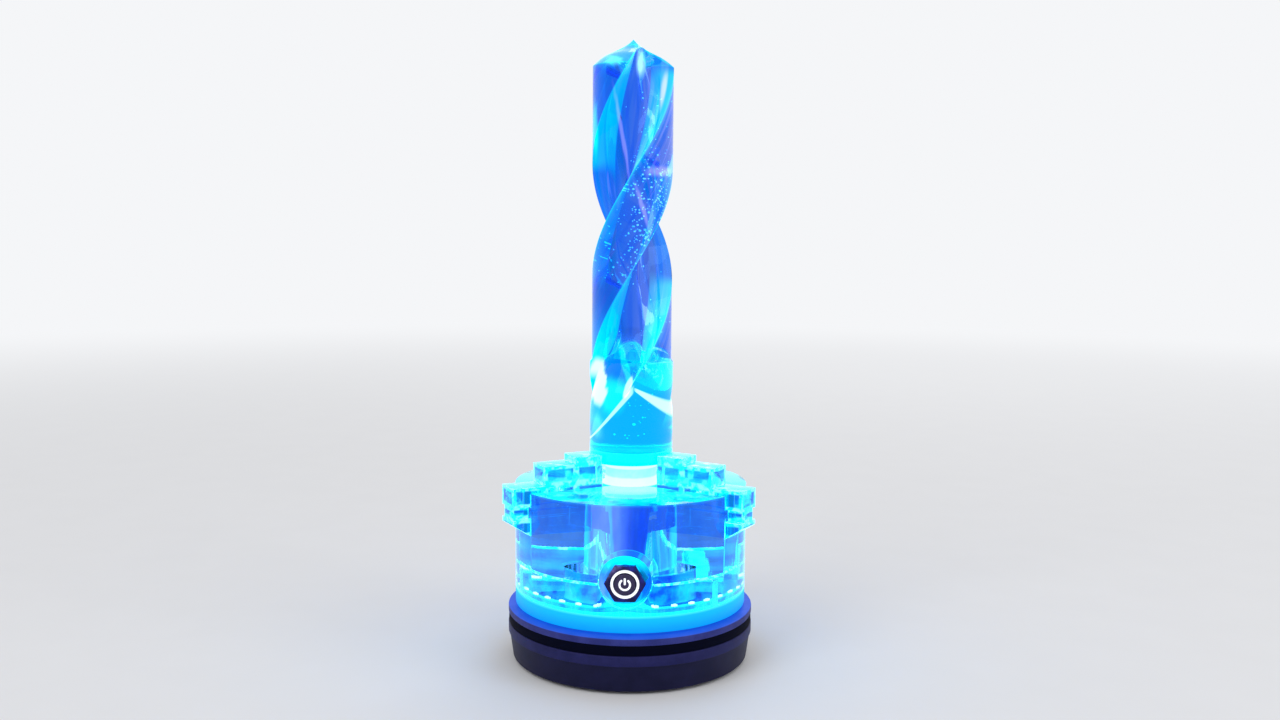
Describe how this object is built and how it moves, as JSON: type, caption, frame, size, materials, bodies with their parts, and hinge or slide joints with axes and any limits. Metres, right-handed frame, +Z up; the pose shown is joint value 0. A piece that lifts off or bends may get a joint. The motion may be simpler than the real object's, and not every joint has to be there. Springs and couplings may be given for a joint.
{
  "type": "epoxy resin lamp",
  "caption": "Clear resin lamp: a lathe chuck with three sliding jaws grips an upright twist drill on a lit opal disc and a dark round base with a power button.",
  "frame": {"origin": "on the lamp's axis, at the middle of the rubber pad's underside, which rests on the table", "axes": "+Z up along the drill, -Y towards the power button, +X to the right as the button is faced"},
  "size_m": [0.1328, 0.1382, 0.3311],
  "materials": {
    "clear_resin": "clear cast epoxy, glossy, lit from below",
    "jaw_resin": "clear cast epoxy, glossy, bright edges",
    "frosted_plug": "frosted, glowing nearly white",
    "opal_disc": "opal, lit azure",
    "grey_shell": "satin dark grey",
    "black_rubber": "matte black",
    "black_metal": "satin black",
    "button_black": "glossy near-black",
    "lit_white": "lit white",
    "nickel": "nickel plated",
    "steel": "zinc plated steel",
    "board_white": "white circuit board",
    "board_green": "green circuit board",
    "package_white": "lit light packages on white tape",
    "chip_black": "moulded black",
    "terminal_green": "moulded green",
    "inlet_black": "moulded black",
    "lead_red": "red insulation",
    "lead_black": "black insulation"
  },
  "bodies": {
    "root": {"rubber_pad": "black_rubber", "bottom_cover": "grey_shell", "cover_screw_1": "steel", "cover_screw_2": "steel", "cover_screw_3": "steel", "cover_screw_4": "steel", "base_body": "grey_shell", "base_screw_1": "steel", "base_screw_2": "steel", "base_screw_3": "steel", "black_band": "black_rubber", "top_plate": "grey_shell", "chuck_screw_1": "steel", "chuck_screw_2": "steel", "chuck_screw_3": "steel", "inlet_housing": "inlet_black", "inlet_pin": "nickel", "inlet_nut": "nickel", "inlet_tab_left": "nickel", "inlet_tab_right": "nickel", "controller_board": "board_green", "controller_chip": "chip_black", "capacitor": "chip_black", "led_terminal_block": "terminal_green", "power_terminal_block": "terminal_green", "diffuser_disc": "opal_disc", "light_ring_board": "board_white", "light_tape": "package_white", "star_board": "board_white", "centre_emitter": "lit_white", "chuck_body": "clear_resin", "light_plug": "frosted_plug", "resin_drill": "clear_resin", "button_insert": "clear_resin", "button_seal": "black_rubber", "hex_bezel": "black_metal", "light_ring": "lit_white", "switch_barrel": "nickel", "switch_nut": "nickel", "contact_block": "chip_black", "switch_tab_left": "nickel", "switch_tab_right": "nickel", "switch_lead_left": "lead_black", "switch_lead_right": "lead_red", "ring_lead": "lead_red", "centre_lead": "lead_red", "inlet_lead_left": "lead_black", "inlet_lead_right": "lead_red"},
    "power_button": {"button_cap": "button_black", "symbol_arc": "lit_white", "symbol_bar": "lit_white"},
    "left_jaw": {"jaw_left": "jaw_resin"},
    "right_jaw": {"jaw_right": "jaw_resin"},
    "back_jaw": {"jaw_back": "jaw_resin"}
  },
  "joints": [
    {"name": "button_press", "type": "slide", "parent": "root", "child": "power_button", "axis": [0, 1, 0], "range_m": [0, 0.0015], "stiffness_N_per_m": 1000, "springref_m": -0.0015},
    {"name": "jaw_left_slide", "type": "slide", "parent": "root", "child": "left_jaw", "axis": [-0.866, -0.5, 0], "range_m": [0, 0.018]},
    {"name": "jaw_right_slide", "type": "slide", "parent": "root", "child": "right_jaw", "axis": [0.866, -0.5, 0], "range_m": [0, 0.018]},
    {"name": "jaw_back_slide", "type": "slide", "parent": "root", "child": "back_jaw", "axis": [0, 1, 0], "range_m": [0, 0.018]}
  ]
}
